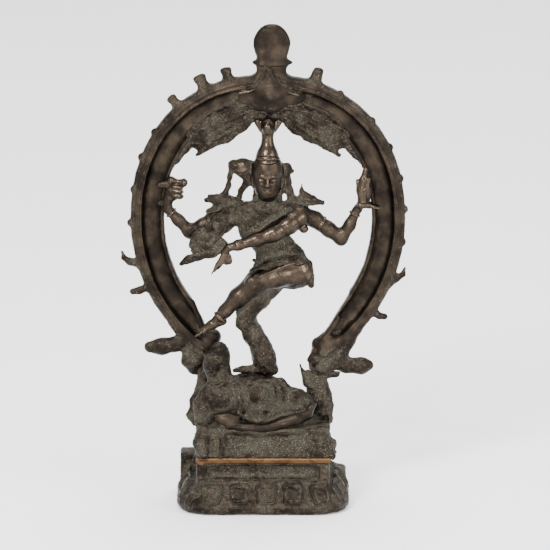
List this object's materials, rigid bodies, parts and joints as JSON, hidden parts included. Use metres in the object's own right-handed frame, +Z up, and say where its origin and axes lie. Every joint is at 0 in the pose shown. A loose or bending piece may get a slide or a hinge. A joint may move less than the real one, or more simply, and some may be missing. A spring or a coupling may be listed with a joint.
{
  "type": "nataraja statue",
  "caption": "Small cast bronze dancing Shiva on a prone dwarf inside a flaming arch, standing on a stepped lotus plinth that the statue lifts off.",
  "frame": {"origin": "centre of the underside of the lotus plinth", "axes": "+Z up, +X to the right of a viewer who faces the dancer, +Y away from that viewer, towards the arch"},
  "size_m": [0.106, 0.044, 0.1796],
  "materials": {
    "dark_bronze": "dark brown aged cast surface",
    "worn_bronze": "smooth from handling, glossy brown",
    "patinated_bronze": "rough cast with grey-green and earth deposits",
    "bright_bronze": "rubbed bright"
  },
  "bodies": {
    "plinth": {"lotus_plinth": "dark_bronze"},
    "statue": {"upper_pedestal": "patinated_bronze", "dwarf_body": "patinated_bronze", "dwarf_head": "dark_bronze", "dwarf_cobra": "worn_bronze", "seat_rivets": "bright_bronze", "flame_arch": "dark_bronze", "arch_foot_left": "dark_bronze", "arch_foot_right": "dark_bronze", "arch_pins": "bright_bronze", "finial": "dark_bronze", "plume_hub": "patinated_bronze", "plume_left": "patinated_bronze", "plume_right": "patinated_bronze", "torso": "patinated_bronze", "head": "worn_bronze", "crown": "worn_bronze", "hair_lock_left": "patinated_bronze", "hair_lock_right": "patinated_bronze", "sash_left": "patinated_bronze", "sash_right": "patinated_bronze", "rear_right_arm": "worn_bronze", "drum": "worn_bronze", "rear_left_arm": "worn_bronze", "flame": "worn_bronze", "front_right_arm": "worn_bronze", "arm_cobra": "worn_bronze", "front_left_arm": "worn_bronze", "hip_sash": "patinated_bronze", "raised_leg": "worn_bronze", "standing_leg": "worn_bronze"}
  },
  "joints": [
    {"name": "lift_off", "type": "slide", "parent": "plinth", "child": "statue", "axis": [0, 0, 1], "range_m": [0, 0.03]}
  ]
}
